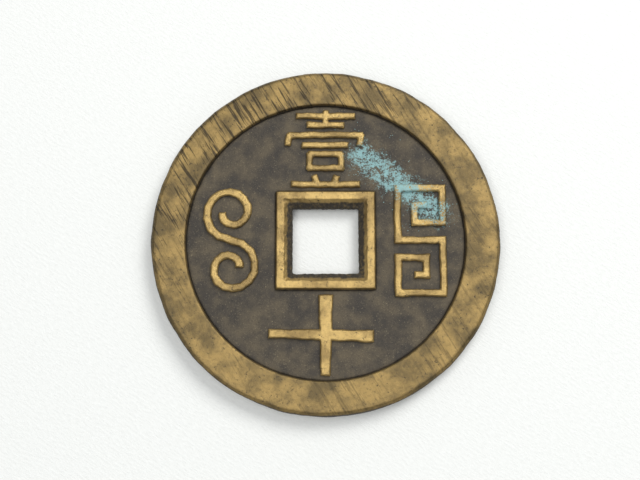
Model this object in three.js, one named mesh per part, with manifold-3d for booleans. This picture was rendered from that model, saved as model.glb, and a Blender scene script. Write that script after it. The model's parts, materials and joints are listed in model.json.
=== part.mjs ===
import * as THREE from 'three';
import { mergeVertices } from 'three/addons/utils/BufferGeometryUtils.js';
import Module from 'manifold-3d';

// A cast brass cash coin with a square hole, lying on its obverse, in millimetres.
// Driving dimensions
const coinDiameter = 37.5;
const coinThickness = 2.4;
const fieldThickness = 1.4;
const outerRimWidth = 3.68;
const edgeBevel = 0.35;
const innerRimSide = 10.5;
const innerRimWidth = 0.8;
const holeSide = 7.1;
const holeWaistHeight = 0.6;
const wallDraft = 0.15;

// Raised marks
const markDrop = 0.05;
const markBevel = 0.16;
const markClearance = 0.45;
const strokeWidth = 0.72;
const tenWidth = 11.2;
const tenShift = -0.5;
const tenStroke = 1.3;
const tenTaper = 0.3;
const scrollStroke = 0.85;
const scrollPitch = 3.05;
const scrollEye = 0.95;
const scrollTurns = 1.25;
const fretStroke = 0.8;
const fretWidth = 4.8;
const fretStep = 1.9;

// Facets
const rimFacets = 96;
const scrollSteps = 18;

const coinRadius = coinDiameter / 2;
const rimInnerRadius = coinRadius - outerRimWidth;
const fieldRadius = rimInnerRadius - wallDraft;
const fieldBottom = (coinThickness - fieldThickness) / 2;
const fieldTop = fieldBottom + fieldThickness;
const reliefHeight = fieldBottom - markDrop;
const collarSide = innerRimSide + 2 * wallDraft;
const holeMouth = innerRimSide - 2 * innerRimWidth;
const markSpace = fieldRadius - collarSide / 2;
const markHeight = markSpace - 2 * markClearance;
const markCentre = (fieldRadius + collarSide / 2) / 2;

const wasm = await Module();
wasm.setup();

// A three.js geometry as a solid with shared corners
function solid(geometry) {
  const bare = geometry.clone();
  bare.deleteAttribute('normal');
  bare.deleteAttribute('uv');
  const merged = mergeVertices(bare, 1e-5);
  const vertProperties = new Float32Array(merged.attributes.position.array);
  const triVerts = new Uint32Array(merged.index.array);
  return new wasm.Manifold(new wasm.Mesh({ numProp: 3, vertProperties, triVerts }));
}

// A solid as a three.js geometry
function geometryOf(body) {
  const mesh = body.getMesh();
  const geometry = new THREE.BufferGeometry();
  geometry.setAttribute('position', new THREE.BufferAttribute(mesh.vertProperties, 3));
  geometry.setIndex(new THREE.BufferAttribute(mesh.triVerts, 1));
  geometry.computeVertexNormals();
  return geometry;
}

// A ring turned about the coin's axis from a closed profile of radius and height
function turned(profile, facets) {
  const points = profile.map(([radius, height]) => new THREE.Vector2(radius, height));
  points.push(points[0].clone());
  const geometry = new THREE.LatheGeometry(points, facets);
  geometry.rotateX(Math.PI / 2);
  return geometry;
}

// Full-height outer rim: bevelled edge outside, drafted wall down to the field inside
function outerRim() {
  return turned([
    [fieldRadius, fieldBottom],
    [rimInnerRadius, 0],
    [coinRadius - edgeBevel, 0],
    [coinRadius, edgeBevel],
    [coinRadius, coinThickness - edgeBevel],
    [coinRadius - edgeBevel, coinThickness],
    [rimInnerRadius, coinThickness],
    [fieldRadius, fieldTop],
  ], rimFacets);
}

// Square collar round the hole, whose walls narrow from both faces to a waist
function innerRim() {
  const corner = Math.SQRT1_2;
  const waistBottom = (coinThickness - holeWaistHeight) / 2;
  const waistTop = waistBottom + holeWaistHeight;
  const geometry = turned([
    [holeSide * corner, waistBottom],
    [holeMouth * corner, 0],
    [innerRimSide * corner, 0],
    [collarSide * corner, fieldBottom],
    [collarSide * corner, fieldTop],
    [innerRimSide * corner, coinThickness],
    [holeMouth * corner, coinThickness],
    [holeSide * corner, waistTop],
  ], 4);
  geometry.rotateZ(Math.PI / 4);
  return geometry;
}

// Thin web between the two rims
function field() {
  const outline = [];
  for (let i = 0; i < rimFacets; i += 1) {
    const angle = (i * 2 * Math.PI) / rimFacets;
    outline.push(new THREE.Vector2(fieldRadius * Math.cos(angle), fieldRadius * Math.sin(angle)));
  }
  const shape = new THREE.Shape(outline);
  const half = collarSide / 2;
  shape.holes.push(new THREE.Path([
    new THREE.Vector2(-half, -half),
    new THREE.Vector2(-half, half),
    new THREE.Vector2(half, half),
    new THREE.Vector2(half, -half),
  ]));
  const geometry = new THREE.ExtrudeGeometry(shape, { depth: fieldThickness, bevelEnabled: false });
  geometry.translate(0, 0, fieldBottom);
  return geometry;
}

// A raised ridge with chamfered shoulders, standing on height zero
function ridge(outline) {
  const geometry = new THREE.ExtrudeGeometry(new THREE.Shape(outline), {
    depth: 2 * (reliefHeight - markBevel),
    bevelThickness: markBevel,
    bevelSize: markBevel,
    bevelOffset: -markBevel,
    bevelSegments: 1,
    curveSegments: 4,
  });
  geometry.translate(0, 0, markBevel - reliefHeight);
  const ground = new THREE.BoxGeometry(coinDiameter, coinDiameter, coinThickness);
  ground.translate(0, 0, -coinThickness / 2);
  return solid(geometry).subtract(solid(ground));
}

// Outline of a band that follows a line of points, with mitred corners
function band(points, startWidth, endWidth = startWidth) {
  const left = [];
  const right = [];
  points.forEach((point, i) => {
    const before = points[Math.max(i - 1, 0)];
    const after = points[Math.min(i + 1, points.length - 1)];
    const incoming = (i > 0 ? point.clone().sub(before) : after.clone().sub(point)).normalize();
    const outgoing = (i < points.length - 1 ? after.clone().sub(point) : incoming.clone()).normalize();
    const middle = incoming.clone().add(outgoing).normalize();
    const share = i / (points.length - 1);
    const width = startWidth + (endWidth - startWidth) * share;
    const reach = width / 2 / middle.dot(incoming);
    const side = new THREE.Vector2(-middle.y, middle.x).multiplyScalar(reach);
    left.push(point.clone().add(side));
    right.push(point.clone().sub(side));
  });
  return right.concat(left.reverse());
}

// One straight stroke between two points
function stroke(ax, ay, bx, by, startWidth, endWidth = startWidth) {
  return ridge(band([new THREE.Vector2(ax, ay), new THREE.Vector2(bx, by)], startWidth, endWidth));
}

// Strokes of the numeral one, each given by its ends as shares of the mark's height
function joinedStrokes(ends) {
  const drawn = ends.map(([ax, ay, bx, by]) => stroke(
    ax * markHeight, ay * markHeight, bx * markHeight, by * markHeight, strokeWidth));
  return drawn.reduce((whole, next) => whole.add(next));
}

// The numeral ten: a level stroke that swells to the right and an upright that tapers down
function ten() {
  const reach = tenWidth / 2;
  const level = stroke(tenShift - reach, 0.15, tenShift + reach, -0.15, tenStroke - tenTaper, tenStroke);
  const rise = markHeight / 2;
  return level.add(stroke(0, rise, 0, -rise, tenStroke + tenTaper, tenStroke - tenTaper));
}

// A line and its half-turn copy, joined at the origin
function paired(half) {
  const turnedHalf = half.slice(1).map((point) => new THREE.Vector2(-point.x, -point.y));
  return half.slice().reverse().concat(turnedHalf);
}

// Cloud scroll: two volutes that unwind into each other
function cloudScroll() {
  const half = [];
  for (let i = 0; i <= scrollSteps; i += 1) {
    const share = 1 - i / scrollSteps;
    const angle = -Math.PI / 2 - (1 - share) * scrollTurns * 2 * Math.PI;
    const radius = scrollEye + (scrollPitch - scrollEye) * share;
    half.push(new THREE.Vector2(radius * Math.cos(angle), scrollPitch + radius * Math.sin(angle)));
  }
  return ridge(band(paired(half), scrollStroke));
}

// Thunder fret: two square volutes that share a level bar
function thunderFret() {
  const side = fretWidth / 2;
  const half = [
    new THREE.Vector2(0, 0),
    new THREE.Vector2(-side, 0),
    new THREE.Vector2(-side, 3 * fretStep),
    new THREE.Vector2(side, 3 * fretStep),
    new THREE.Vector2(side, fretStep),
    new THREE.Vector2(-side / 4, fretStep),
    new THREE.Vector2(-side / 4, 2 * fretStep),
    new THREE.Vector2(side / 3, 2 * fretStep),
  ];
  return ridge(band(paired(half), fretStroke));
}

const coin = new THREE.Group();
const wornBrass = { roughness: 0.42, metalness: 0.9 };
const darkBrass = { roughness: 0.75, metalness: 0.4 };

function place(name, geometry, colour, finish, x = 0, y = 0, z = 0) {
  const mesh = new THREE.Mesh(geometry, new THREE.MeshStandardMaterial({ color: colour, ...finish }));
  mesh.name = name;
  mesh.position.set(x, y, z);
  coin.add(mesh);
  return mesh;
}

place('outer_rim', outerRim(), 0x8a7344, wornBrass);
place('inner_rim', innerRim(), 0x94804e, wornBrass);
place('field', field(), 0x4a443a, darkBrass);

// Reverse marks, facing up
place('ten', geometryOf(ten()), 0x9a8450, wornBrass, 0, -markCentre, fieldTop);
const numeralOne = {
  one_cross: [[0, 1, 0, 0.8], [-0.38, 0.92, 0.38, 0.92], [-0.24, 0.8, 0.24, 0.8]],
  one_cover: [[-0.48, 0.67, 0.48, 0.67], [-0.46, 0.69, -0.48, 0.53], [0.46, 0.69, 0.43, 0.53]],
  one_bar: [[-0.3, 0.54, 0.3, 0.54]],
  one_box: [[-0.22, 0.42, 0.22, 0.42], [-0.22, 0.24, 0.22, 0.24], [-0.2, 0.44, -0.2, 0.22], [0.2, 0.44, 0.2, 0.22]],
  one_foot: [[-0.44, 0.03, 0.44, 0.03], [-0.14, 0.15, -0.1, 0.03], [0.14, 0.15, 0.1, 0.03]],
};
const numeralBase = collarSide / 2 + markClearance;
for (const [name, ends] of Object.entries(numeralOne)) {
  place(name, geometryOf(joinedStrokes(ends)), 0x9a8450, wornBrass, 0, numeralBase, fieldTop);
}
place('cloud_scroll', geometryOf(cloudScroll()), 0x9a8450, wornBrass, -markCentre, 0, fieldTop);
place('thunder_fret', geometryOf(thunderFret()), 0x9a8450, wornBrass, markCentre, 0, fieldTop);

// Obverse marks, facing down: the same scroll at each side of the hole
['east', 'north', 'west', 'south'].forEach((side, i) => {
  const turn = new THREE.Group();
  turn.rotation.z = (i * Math.PI) / 2;
  const mesh = place(`obverse_scroll_${side}`, geometryOf(cloudScroll()), 0x9a8450, wornBrass,
    markCentre, 0, fieldBottom);
  mesh.rotation.x = Math.PI;
  turn.add(mesh);
  coin.add(turn);
});

export default coin;
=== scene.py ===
import json
import math

import bmesh
import bpy
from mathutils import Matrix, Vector, noise


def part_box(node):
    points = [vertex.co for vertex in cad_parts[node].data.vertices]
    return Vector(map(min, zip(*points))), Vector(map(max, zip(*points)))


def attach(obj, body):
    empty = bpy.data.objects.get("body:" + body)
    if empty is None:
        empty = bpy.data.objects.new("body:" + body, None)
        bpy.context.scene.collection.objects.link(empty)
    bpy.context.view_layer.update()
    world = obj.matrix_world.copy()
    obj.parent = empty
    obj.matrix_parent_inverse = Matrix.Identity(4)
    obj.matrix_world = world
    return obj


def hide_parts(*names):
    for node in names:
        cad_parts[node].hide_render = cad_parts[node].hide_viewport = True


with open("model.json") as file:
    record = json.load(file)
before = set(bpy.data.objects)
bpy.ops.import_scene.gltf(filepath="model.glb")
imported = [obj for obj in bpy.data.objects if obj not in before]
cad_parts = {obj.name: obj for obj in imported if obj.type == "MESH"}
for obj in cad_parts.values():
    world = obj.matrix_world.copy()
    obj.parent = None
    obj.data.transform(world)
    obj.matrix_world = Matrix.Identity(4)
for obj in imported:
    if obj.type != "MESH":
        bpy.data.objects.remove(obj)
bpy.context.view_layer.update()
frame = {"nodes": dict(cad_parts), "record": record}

# Sizes in millimetres, taken from the frame; the object itself is in metres
MM = 0.001
rim_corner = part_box("outer_rim")[1]
field_low, field_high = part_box("field")
COIN_RADIUS = rim_corner[0] / MM
MIDDLE = rim_corner[2] / MM / 2
FIELD_TOP = field_high[2] / MM
FIELD_BOTTOM = field_low[2] / MM
SAME_LEVEL = 0.01

# Fineness of the surfaces
RIM_VOXEL = 0.13
FIELD_VOXEL = 0.15
COLLAR_VOXEL = 0.08
MARK_VOXEL = 0.07

# How far the casting and its wear depart from the clean solids
MARK_ROOT = 0.2
EDGE_BAND = 0.5
EDGE_UNEVENNESS = 0.16
GROOVE_DEPTH = 0.09
GROOVES_PER_MM = 3.2
GROOVE_START = 0.18
DENT_DEPTH = 0.03
DEEPEST_CUT = 0.08
FIELD_GRAIN = 0.035
FIELD_SWELL = 0.02
MARK_WAVER = 0.09
MARK_PITS = 0.05
HOLE_MOUTH_REACH = 4.6
HOLE_ROUGHNESS = 0.12
COLLAR_ROUGHNESS = 0.05
HOLE_FLARE = 0.02

# Direction of the file marks on the rim, and the blue-green patch beside the top mark
FILE_ANGLE = math.radians(-58)
PATCH_START = Vector((4.0, 9.3))
PATCH_END = Vector((12.0, 3.0))
PATCH_REACH = 4.2
GRAIN_RADIUS = 0.045
GRAINS_PER_SQUARE_MM = 1.6
PATCH_CORE = 0.2
CLOUD_WEIGHT = 2.2
SPECK_WEIGHT = 1.6

# The file marks crowd one side of the rim: that side's direction, and where they fade in
FILE_SIDE = (-0.5, 0.85)
FILE_FADE = (1.0, 12.0)
STRAY_FILE_SHARE = 0.45

# Camera and lamps, in millimetres and degrees for the camera, metres and watts for the lamps
CAMERA_TILT = 79.7
CAMERA_DISTANCE = 115.1
CAMERA_AIM = (-0.6, 0.16, MIDDLE)
CAMERA_LENS = 60
CAMERA_SENSOR = 36
WINDOW_PLACE = (0.16, 0.2, 0.3)
WINDOW_SIZE = 0.2
OVERHEAD_PLACE = (-0.08, -0.05, 0.42)
OVERHEAD_SIZE = 0.3
LAMP_POWER = 1.0
ROOM_LIGHT = 0.34
FLOOR_HALF = 0.5


def srgb(red, green, blue):
    """A colour written as 0 to 255, as linear values."""
    shares = [value / 255 for value in (red, green, blue)]
    return tuple(s / 12.92 if s < 0.04045 else ((s + 0.055) / 1.055) ** 2.4 for s in shares) + (1.0,)


RIM_GOLD = srgb(150, 126, 78)
RIM_BROWN = srgb(98, 84, 56)
MARK_GOLD = srgb(184, 156, 98)
MARK_BROWN = srgb(134, 112, 70)
# Dark colour of pits, file marks and the low walls and feet of the brass: dirt, and on the walls and
# feet also painted shade
DIRT_AND_SHADE = srgb(48, 42, 32)
PATINA_DARK = srgb(58, 53, 46)
PATINA_LIGHT = srgb(92, 82, 64)
PATINA_SPECK = srgb(142, 130, 102)
PATINA_PIT = srgb(32, 30, 27)
CRUST_ON_BRASS = srgb(140, 178, 176)
CRUST_ON_FIELD = srgb(136, 174, 174)
GRAIN_DEEP = srgb(96, 138, 140)
GRAIN_PALE = srgb(168, 204, 200)
CLOTH_SHADE = srgb(224, 225, 220)
CLOTH_LIGHT = srgb(240, 241, 237)


class Tree:
    """Short calls for building a material's nodes."""

    def __init__(self, name):
        self.material = bpy.data.materials.new(name)
        self.material.use_nodes = True
        self.nodes = self.material.node_tree.nodes
        self.links = self.material.node_tree.links
        self.shader = self.nodes["Principled BSDF"]
        self.place = self.nodes.new("ShaderNodeTexCoord").outputs["Object"]

    def join(self, value, socket):
        if isinstance(value, (int, float, tuple)):
            socket.default_value = value
        else:
            self.links.new(value, socket)

    def math(self, operation, first, second=0.0, clamp=False):
        node = self.nodes.new("ShaderNodeMath")
        node.operation = operation
        node.use_clamp = clamp
        self.join(first, node.inputs[0])
        self.join(second, node.inputs[1])
        return node.outputs[0]

    def noise(self, per_mm, detail=4.0, stretch=(1, 1, 1), turn=0.0, rough=0.6):
        turned = self.nodes.new("ShaderNodeMapping")
        turned.inputs["Rotation"].default_value = (0, 0, turn)
        self.links.new(self.place, turned.inputs["Vector"])
        mapping = self.nodes.new("ShaderNodeMapping")
        mapping.inputs["Scale"].default_value = tuple(s * per_mm / MM for s in stretch)
        self.links.new(turned.outputs[0], mapping.inputs["Vector"])
        node = self.nodes.new("ShaderNodeTexNoise")
        node.inputs["Scale"].default_value = 1.0
        node.inputs["Detail"].default_value = detail
        node.inputs["Roughness"].default_value = rough
        self.links.new(mapping.outputs[0], node.inputs["Vector"])
        return node.outputs["Fac"]

    def ramp(self, value, low, high):
        node = self.nodes.new("ShaderNodeMapRange")
        node.interpolation_type = "SMOOTHSTEP"
        node.inputs["From Min"].default_value = low
        node.inputs["From Max"].default_value = high
        self.join(value, node.inputs["Value"])
        return node.outputs[0]

    def mix(self, factor, first, second):
        node = self.nodes.new("ShaderNodeMix")
        node.data_type = "RGBA"
        self.join(factor, node.inputs["Factor"])
        self.join(first, node.inputs[6])
        self.join(second, node.inputs[7])
        return node.outputs[2]

    def bump(self, height, distance):
        node = self.nodes.new("ShaderNodeBump")
        node.inputs["Distance"].default_value = distance * MM
        node.inputs["Strength"].default_value = 0.7
        self.links.new(height, node.inputs["Height"])
        self.links.new(node.outputs[0], self.shader.inputs["Normal"])

    def axes(self):
        node = self.nodes.new("ShaderNodeSeparateXYZ")
        self.links.new(self.place, node.inputs[0])
        return node.outputs


def verdigris_share(tree):
    """Where the blue-green crust lies: near a line on the upper face, broken into grains."""
    x, y, z = tree.axes()
    line = PATCH_END - PATCH_START
    length = line.length
    along = line / length
    dx = tree.math("SUBTRACT", x, PATCH_START.x * MM)
    dy = tree.math("SUBTRACT", y, PATCH_START.y * MM)
    run = tree.math("ADD", tree.math("MULTIPLY", dx, along.x), tree.math("MULTIPLY", dy, along.y))
    run = tree.math("MINIMUM", tree.math("MAXIMUM", run, 0.0), length * MM)
    off_x = tree.math("SUBTRACT", dx, tree.math("MULTIPLY", run, along.x))
    off_y = tree.math("SUBTRACT", dy, tree.math("MULTIPLY", run, along.y))
    square = tree.math("ADD", tree.math("MULTIPLY", off_x, off_x), tree.math("MULTIPLY", off_y, off_y))
    near = tree.ramp(tree.math("SQRT", square), PATCH_REACH * MM, PATCH_CORE * MM)
    cloud = tree.noise(1.1, 8.0, rough=0.75)
    speck = tree.noise(6.0, 3.0)
    clouds = tree.math("MULTIPLY", tree.math("SUBTRACT", cloud, 0.5), CLOUD_WEIGHT)
    amount = tree.math("ADD", near, clouds)
    specks = tree.math("MULTIPLY", tree.math("SUBTRACT", speck, 0.5), SPECK_WEIGHT)
    amount = tree.math("ADD", amount, specks)
    above = tree.ramp(z, MIDDLE * MM, (MIDDLE + 0.3) * MM)
    return tree.math("MULTIPLY", tree.math("MULTIPLY", tree.ramp(amount, 0.7, 1.15), above), near)


def worn_brass_with_shade(name, bright, deep, grime_and_shade, dark_below, bright_above, files=0.0):
    """Golden worn tops; walls and feet darkened towards the field, partly dirt and partly painted
    shade; dark pits, and optional slanting file marks.
    """
    tree = Tree(name)
    x, y, z = tree.axes()
    height = tree.math("ABSOLUTE", tree.math("SUBTRACT", z, MIDDLE * MM))
    patches = tree.noise(0.35, 6.0)
    pits = tree.noise(3.2, 5.0, rough=0.7)
    # Brass lower than the worn tops goes dark: partly dirt, partly painted shade on the walls and feet
    top = tree.ramp(height, dark_below * MM, bright_above * MM)
    wear_and_shade = tree.math("ADD", top, tree.math("MULTIPLY", tree.math("SUBTRACT", pits, 0.5), 1.4), True)
    brass = tree.mix(tree.ramp(patches, 0.35, 0.65), deep, bright)
    # Painted shade and dirt on the low parts, worn brass on the tops
    colour = tree.mix(wear_and_shade, grime_and_shade, brass)
    colour = tree.mix(tree.ramp(pits, 0.4, 0.3), colour, grime_and_shade)
    if files:
        lines = tree.noise(1.0, 3.0, stretch=(0.25, 3.6, 1), turn=-FILE_ANGLE)
        side_x = tree.math("MULTIPLY", x, FILE_SIDE[0])
        side_y = tree.math("MULTIPLY", y, FILE_SIDE[1])
        lean = tree.math("ADD", side_x, side_y)
        strays = tree.math("MULTIPLY", tree.ramp(tree.noise(0.12, 2.0), 0.42, 0.6), STRAY_FILE_SHARE)
        zone = tree.math("MAXIMUM", tree.ramp(lean, FILE_FADE[0] * MM, FILE_FADE[1] * MM), strays)
        dark = tree.math("MULTIPLY", tree.ramp(lines, 0.51, 0.62), zone)
        colour = tree.mix(tree.math("MULTIPLY", dark, files), colour, grime_and_shade)
    crust = verdigris_share(tree)
    colour = tree.mix(crust, colour, CRUST_ON_BRASS)
    tree.links.new(colour, tree.shader.inputs["Base Color"])
    shine = tree.math("MULTIPLY", wear_and_shade, tree.math("SUBTRACT", 1.0, crust))
    tree.links.new(tree.math("MULTIPLY", shine, 0.8), tree.shader.inputs["Metallic"])
    roughness = tree.math("SUBTRACT", 0.78, tree.math("MULTIPLY", shine, 0.33))
    tree.links.new(roughness, tree.shader.inputs["Roughness"])
    tree.bump(tree.math("ADD", pits, tree.noise(9.0, 3.0)), 0.05)
    return tree.material


def dark_patina():
    """Grey-brown field with pale specks and brassy rubs."""
    tree = Tree("dark_patina")
    fine = tree.noise(7.0, 6.0, rough=0.75)
    broad = tree.noise(0.45, 5.0)
    colour = tree.mix(tree.ramp(broad, 0.35, 0.7), PATINA_DARK, PATINA_LIGHT)
    colour = tree.mix(tree.ramp(fine, 0.57, 0.7), colour, PATINA_SPECK)
    colour = tree.mix(tree.ramp(fine, 0.43, 0.33), colour, PATINA_PIT)
    crust = verdigris_share(tree)
    colour = tree.mix(crust, colour, CRUST_ON_FIELD)
    tree.links.new(colour, tree.shader.inputs["Base Color"])
    tree.shader.inputs["Metallic"].default_value = 0.15
    tree.shader.inputs["Roughness"].default_value = 0.7
    tree.bump(fine, 0.08)
    return tree.material


def felt():
    """Pale fibrous cloth under the coin."""
    tree = Tree("felt")
    fibres = tree.noise(1.6, 6.0, stretch=(1, 2.5, 1), turn=0.6)
    colour = tree.mix(fibres, CLOTH_SHADE, CLOTH_LIGHT)
    tree.links.new(colour, tree.shader.inputs["Base Color"])
    tree.shader.inputs["Roughness"].default_value = 0.95
    tree.bump(fibres, 0.12)
    return tree.material


def welded_copy(node):
    """A CAD node's mesh in millimetres, with its loose triangles joined."""
    source = frame["nodes"][node]
    shape = bmesh.new()
    shape.from_mesh(source.data)
    shape.transform(source.matrix_world)
    bmesh.ops.scale(shape, vec=(1 / MM, 1 / MM, 1 / MM), verts=shape.verts)
    bmesh.ops.remove_doubles(shape, verts=shape.verts, dist=0.001)
    return shape


def cast_surface(name, shape, voxel, smooth, move):
    """Rounds a solid as sand casting and wear do, then moves each point by a rule."""
    mesh = bpy.data.meshes.new(name)
    shape.to_mesh(mesh)
    shape.free()
    piece = bpy.data.objects.new(name, mesh)
    bpy.context.scene.collection.objects.link(piece)
    remesh = piece.modifiers.new("voxels", "REMESH")
    remesh.mode = "VOXEL"
    remesh.voxel_size = voxel
    softer = piece.modifiers.new("softer", "SMOOTH")
    softer.factor = 0.5
    softer.iterations = smooth
    evaluated = piece.evaluated_get(bpy.context.evaluated_depsgraph_get())
    finished = bpy.data.meshes.new_from_object(evaluated)
    piece.modifiers.clear()
    piece.data = finished
    for vertex, normal in zip(finished.vertices, [v.normal.copy() for v in finished.vertices]):
        vertex.co = (vertex.co + move(vertex.co, normal)) * MM
    for polygon in finished.polygons:
        polygon.use_smooth = True
    return piece


def grain(point, per_mm, octaves=3):
    """Smooth random height at a point, with so many swells to a millimetre."""
    return noise.fractal(point * per_mm, 1.0, 2.0, octaves)


def move_rim(point, normal):
    """Uneven edge, shallow dents and slanting file grooves on the flat faces."""
    radius = math.hypot(point.x, point.y)
    at_edge = radius > COIN_RADIUS - EDGE_BAND
    inward = -abs(grain(point, 0.16)) * EDGE_UNEVENNESS if at_edge else 0.0
    side = Vector((point.x, point.y, 0)) / radius
    across = point.x * math.sin(FILE_ANGLE) - point.y * math.cos(FILE_ANGLE)
    along = point.x * math.cos(FILE_ANGLE) + point.y * math.sin(FILE_ANGLE)
    ridges = noise.noise(Vector((across * GROOVES_PER_MM, along * 0.22, 5.0)))
    groove = max(0.0, ridges - GROOVE_START) * GROOVE_DEPTH
    depth = groove * abs(normal.z) + max(0.0, grain(point, 0.9)) * DENT_DEPTH
    return side * inward - normal * min(depth, DEEPEST_CUT)


def move_field(point, normal):
    """Coarse sand-cast grain."""
    return normal * (grain(point, 2.6, 4) * FIELD_GRAIN + grain(point, 0.3) * FIELD_SWELL)


def move_mark(point, normal):
    """Wavering edges and pin-pits."""
    elsewhere = point + Vector((7, 3, 1))
    wave = Vector((grain(point, 0.7), grain(elsewhere, 0.7), 0)) * MARK_WAVER
    return wave - normal * max(0.0, grain(point, 3.0)) * MARK_PITS


def move_collar(point, normal):
    """Ragged walls inside the hole, and a slightly uneven collar round it."""
    inside = max(abs(point.x), abs(point.y)) < HOLE_MOUTH_REACH
    rough = HOLE_ROUGHNESS if inside else COLLAR_ROUGHNESS
    return -normal * abs(grain(point, 1.1, 4)) * rough + normal * HOLE_FLARE * inside


def settle(piece, node, material):
    """Gives a finished piece its material, and lets it stand for its CAD node."""
    piece.data.materials.clear()
    piece.data.materials.append(material)
    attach(piece, "root")
    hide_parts(node)


def rooted_mark(node):
    """A mark whose foot is pushed down into the field, so that no light passes under it."""
    shape = welded_copy(node)
    for vertex in shape.verts:
        if abs(vertex.co.z - FIELD_TOP) < SAME_LEVEL:
            vertex.co.z -= MARK_ROOT
        elif abs(vertex.co.z - FIELD_BOTTOM) < SAME_LEVEL:
            vertex.co.z += MARK_ROOT
    return shape


def patch_distance(point):
    """Distance in millimetres from the line that the blue-green patch follows."""
    flat = Vector((point.x, point.y)) / MM
    line = PATCH_END - PATCH_START
    share = max(0.0, min(1.0, (flat - PATCH_START).dot(line) / line.length_squared))
    return (flat - PATCH_START - line * share).length


def crust_bed(field):
    """The field's upper faces inside the patch, as the ground that grains grow on."""
    shape = bmesh.new()
    shape.from_mesh(field.data)
    away = []
    for face in shape.faces:
        centre = face.calc_center_median()
        reach = PATCH_REACH * (0.7 + 0.9 * noise.noise(centre / MM * 0.8))
        if face.normal.z < 0.5 or patch_distance(centre) > reach:
            away.append(face)
    bmesh.ops.delete(shape, geom=away, context="FACES")
    mesh = bpy.data.meshes.new("verdigris_bed")
    shape.to_mesh(mesh)
    shape.free()
    return mesh


def verdigris_grains(field, material):
    """Grains of blue-green crust scattered over the bed by Geometry Nodes."""
    group = bpy.data.node_groups.new("verdigris_grains", "GeometryNodeTree")
    group.interface.new_socket("Bed", in_out="INPUT", socket_type="NodeSocketGeometry")
    group.interface.new_socket("Density", in_out="INPUT", socket_type="NodeSocketFloat")
    group.interface.new_socket("Grain Radius", in_out="INPUT", socket_type="NodeSocketFloat")
    group.interface.new_socket("Grains", in_out="OUTPUT", socket_type="NodeSocketGeometry")
    nodes, links = group.nodes, group.links
    start = nodes.new("NodeGroupInput")
    end = nodes.new("NodeGroupOutput")
    scatter = nodes.new("GeometryNodeDistributePointsOnFaces")
    scatter.inputs["Seed"].default_value = 4
    ball = nodes.new("GeometryNodeMeshIcoSphere")
    ball.inputs["Subdivisions"].default_value = 1
    size = nodes.new("FunctionNodeRandomValue")
    size.inputs["Seed"].default_value = 9
    size.inputs[2].default_value = 0.35
    size.inputs[3].default_value = 1.3
    instance = nodes.new("GeometryNodeInstanceOnPoints")
    realize = nodes.new("GeometryNodeRealizeInstances")
    finish = nodes.new("GeometryNodeSetMaterial")
    finish.inputs["Material"].default_value = material
    links.new(start.outputs["Bed"], scatter.inputs["Mesh"])
    links.new(start.outputs["Density"], scatter.inputs["Density"])
    links.new(start.outputs["Grain Radius"], ball.inputs["Radius"])
    links.new(scatter.outputs["Points"], instance.inputs["Points"])
    links.new(ball.outputs["Mesh"], instance.inputs["Instance"])
    links.new(size.outputs[1], instance.inputs["Scale"])
    links.new(instance.outputs[0], realize.inputs[0])
    links.new(realize.outputs[0], finish.inputs["Geometry"])
    links.new(finish.outputs[0], end.inputs["Grains"])
    bed = bpy.data.objects.new("verdigris_grains", crust_bed(field))
    bpy.context.scene.collection.objects.link(bed)
    modifier = bed.modifiers.new("grains", "NODES")
    modifier.node_group = group
    values = {"Density": GRAINS_PER_SQUARE_MM / MM ** 2, "Grain Radius": GRAIN_RADIUS * MM}
    for item in group.interface.items_tree:
        if item.name in values and item.in_out == "INPUT":
            modifier[item.identifier] = values[item.name]
    evaluated = bed.evaluated_get(bpy.context.evaluated_depsgraph_get())
    grains = bpy.data.meshes.new_from_object(evaluated)
    bed.modifiers.clear()
    bed.data = grains
    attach(bed, "root")


def crust_material():
    """Chalky blue-green of the grains."""
    tree = Tree("verdigris")
    tone = tree.noise(5.0, 4.0)
    colour = tree.mix(tree.ramp(tone, 0.35, 0.65), GRAIN_DEEP, GRAIN_PALE)
    tree.links.new(colour, tree.shader.inputs["Base Color"])
    tree.shader.inputs["Roughness"].default_value = 0.75
    tree.bump(tone, 0.02)
    return tree.material


def area_lamp(name, place, size, energy):
    """A square soft lamp that faces the coin."""
    lamp = bpy.data.lights.new(name, "AREA")
    lamp.size = size
    lamp.energy = energy
    holder = bpy.data.objects.new(name, lamp)
    holder.location = place
    holder.rotation_euler = (-Vector(place)).to_track_quat("-Z", "Y").to_euler()
    bpy.context.scene.collection.objects.link(holder)


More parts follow.
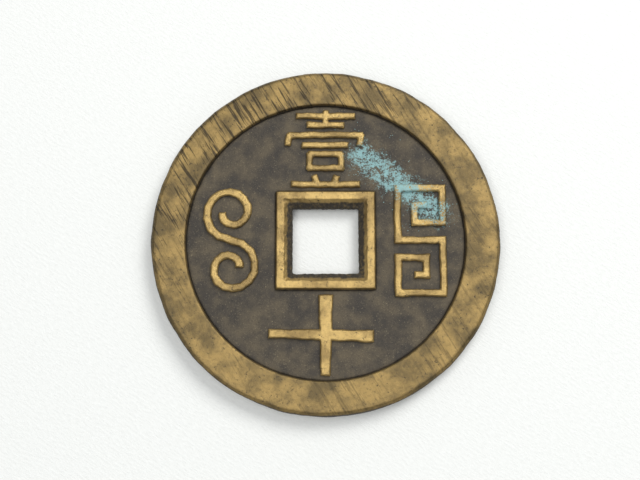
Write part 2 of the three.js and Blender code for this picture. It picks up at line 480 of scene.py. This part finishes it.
def camera():
    """Nearly overhead, at the photograph's tilt."""
    tilt = math.radians(CAMERA_TILT)
    distance = CAMERA_DISTANCE * MM
    aim = Vector(CAMERA_AIM) * MM
    eye = bpy.data.cameras.new("camera")
    eye.lens = CAMERA_LENS
    eye.sensor_width = CAMERA_SENSOR
    eye.clip_start = 0.001
    holder = bpy.data.objects.new("camera", eye)
    holder.location = aim + Vector((0, -math.cos(tilt), math.sin(tilt))) * distance
    holder.rotation_euler = (aim - holder.location).to_track_quat("-Z", "Y").to_euler()
    bpy.context.scene.collection.objects.link(holder)
    bpy.context.scene.camera = holder


def studio():
    """Pale floor, a lamp at the upper right, a lamp overhead and an even room light."""
    scene = bpy.context.scene
    scene.view_settings.view_transform = "Standard"
    world = bpy.data.worlds.new("room")
    world.use_nodes = True
    background = world.node_tree.nodes["Background"]
    background.inputs["Color"].default_value = (0.9, 0.93, 1.0, 1)
    background.inputs["Strength"].default_value = ROOM_LIGHT
    scene.world = world
    area_lamp("window", WINDOW_PLACE, WINDOW_SIZE, LAMP_POWER)
    area_lamp("overhead", OVERHEAD_PLACE, OVERHEAD_SIZE, LAMP_POWER)
    mesh = bpy.data.meshes.new("floor")
    signs = ((-1, -1), (1, -1), (1, 1), (-1, 1))
    mesh.from_pydata([(x * FLOOR_HALF, y * FLOOR_HALF, 0) for x, y in signs], [], [(0, 1, 2, 3)])
    floor = bpy.data.objects.new("floor", mesh)
    mesh.materials.append(felt())
    scene.collection.objects.link(floor)


camera()
studio()

# Both brass materials paint shade, mixed with dirt, on their low walls and feet
rim_brass = worn_brass_with_shade("rim_brass", RIM_GOLD, RIM_BROWN, DIRT_AND_SHADE, 0.75, 1.05, files=0.85)
mark_brass = worn_brass_with_shade("mark_brass", MARK_GOLD, MARK_BROWN, DIRT_AND_SHADE, 0.74, 1.0)

rim = cast_surface("rim", welded_copy("outer_rim"), RIM_VOXEL, 3, move_rim)
settle(rim, "outer_rim", rim_brass)
field = cast_surface("web", welded_copy("field"), FIELD_VOXEL, 1, move_field)
settle(field, "field", dark_patina())
collar = cast_surface("collar", welded_copy("inner_rim"), COLLAR_VOXEL, 4, move_collar)
settle(collar, "inner_rim", mark_brass)

for entry in frame["record"]["subparts"]:
    node = entry["node"]
    if node in ("outer_rim", "inner_rim", "field"):
        continue
    mark = cast_surface(node + "_cast", rooted_mark(node), MARK_VOXEL, 3, move_mark)
    settle(mark, node, mark_brass)

verdigris_grains(field, crust_material())
